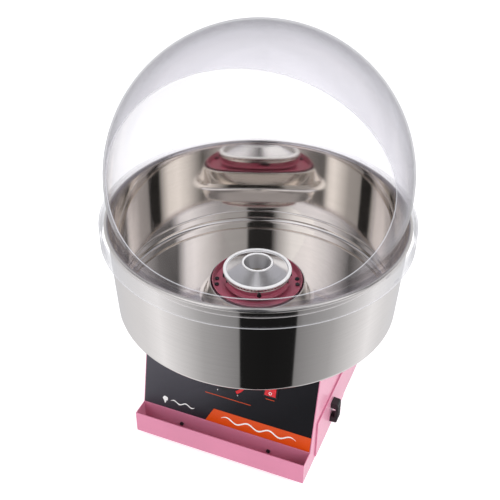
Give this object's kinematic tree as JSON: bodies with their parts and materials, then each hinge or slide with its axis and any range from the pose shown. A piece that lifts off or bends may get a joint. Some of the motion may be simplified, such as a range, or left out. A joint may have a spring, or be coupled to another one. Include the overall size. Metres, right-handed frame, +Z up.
{
  "type": "cotton candy machine",
  "caption": "Counter-top cotton candy machine with a spinning heated head, deep steel bowl, clear open-front dome, side drawer and front trough.",
  "frame": {"origin": "middle of the footprint on the bench, below the spinner's axis", "axes": "+Z up along the spinner's axis, -Y towards the operator and the control panel, +X to the operator's right, where the drawer opens"},
  "size_m": [0.53, 0.5298, 0.7438],
  "materials": {
    "pink_paint": "gloss powder coat",
    "graphite_film": "satin printed film",
    "orange_film": "satin printed film",
    "red_print": "printed",
    "zinc_screw": "zinc plated",
    "black_screw": "black zinc",
    "rubber_black": "matt",
    "stainless": "mirror polished stainless steel",
    "bare_steel": "plain",
    "cast_alloy": "as cast",
    "copper_winding": "varnished",
    "bakelite": "moulded",
    "carbon": "pressed carbon",
    "brass": "turned",
    "black_plastic": "satin",
    "red_plastic": "gloss",
    "grey_plastic": "moulded",
    "circuit_green": "lacquered board",
    "heater_alloy": "heat stained",
    "clear_acrylic": "clear polished"
  },
  "bodies": {
    "base": {"chassis": "pink_paint", "top_plate": "pink_paint", "front_fascia": "pink_paint", "control_overlay": "graphite_film", "banner_label": "orange_film", "dial_scale": "red_print", "front_tray": "pink_paint", "tray_screws": "zinc_screw", "rear_cover": "pink_paint", "rear_screws": "zinc_screw", "feet": "rubber_black", "foot_screws": "zinc_screw", "top_screws": "zinc_screw", "bowl_pads": "rubber_black", "hub_pedestal": "bare_steel", "hub_dish": "pink_paint", "dish_screws": "black_screw", "brush_holder": "bakelite", "carbon_brushes": "carbon", "motor_bracket": "bare_steel", "motor_bushes": "rubber_black", "bracket_bolts": "zinc_screw", "bracket_nuts": "zinc_screw", "motor_can": "bare_steel", "motor_stator": "copper_winding", "motor_end_bells": "cast_alloy", "motor_screws": "zinc_screw", "shaft_bearings": "bare_steel", "switch_bezels": "black_plastic", "heat_control": "grey_plastic", "control_board": "circuit_green", "board_posts": "zinc_screw", "power_inlet": "black_plastic", "inlet_screws": "zinc_screw", "drawer_rails": "bare_steel"},
    "spinner": {"motor_shaft": "bare_steel", "motor_rotor": "bare_steel", "cooling_fan": "black_plastic", "slip_ring_hub": "bakelite", "slip_rings": "brass", "head_cup": "stainless", "heater_ring": "heater_alloy", "mesh_band": "stainless", "head_rim": "stainless", "head_cone": "stainless", "sugar_funnel": "stainless", "head_screws": "zinc_screw", "drive_nut": "brass"},
    "power_switch": {"power_rocker": "red_plastic"},
    "heat_switch": {"heat_rocker": "red_plastic"},
    "heat_dial": {"heat_knob": "black_plastic"},
    "drawer": {"drawer_box": "bare_steel", "drawer_front": "pink_paint", "drawer_handle": "black_plastic", "handle_screws": "zinc_screw"},
    "pan": {"bowl": "stainless"},
    "cover": {"dome": "clear_acrylic", "dome_clips": "clear_acrylic"}
  },
  "joints": [
    {"name": "head_spin", "type": "hinge", "parent": "base", "child": "spinner", "pos_m": [0, 0, 0.287], "axis": [0, 0, 1], "continuous": true},
    {"name": "power_rock", "type": "hinge", "parent": "base", "child": "power_switch", "pos_m": [0.079, -0.12607, 0.15889], "axis": [-1, 0, 0], "range_deg": [0, 16]},
    {"name": "heat_rock", "type": "hinge", "parent": "base", "child": "heat_switch", "pos_m": [-0.079, -0.12607, 0.15889], "axis": [-1, 0, 0], "range_deg": [0, 16]},
    {"name": "dial_turn", "type": "hinge", "parent": "base", "child": "heat_dial", "pos_m": [0, -0.12607, 0.15889], "axis": [0, 0.9799, -0.1994], "range_deg": [0, 300]},
    {"name": "drawer_slide", "type": "slide", "parent": "base", "child": "drawer", "axis": [1, 0, 0], "range_m": [0, 0.16]},
    {"name": "pan_lift", "type": "slide", "parent": "base", "child": "pan", "axis": [0, 0, 1], "range_m": [0, 0.11]},
    {"name": "cover_lift", "type": "slide", "parent": "pan", "child": "cover", "axis": [0, 0, 1], "range_m": [0, 0.15]}
  ]
}
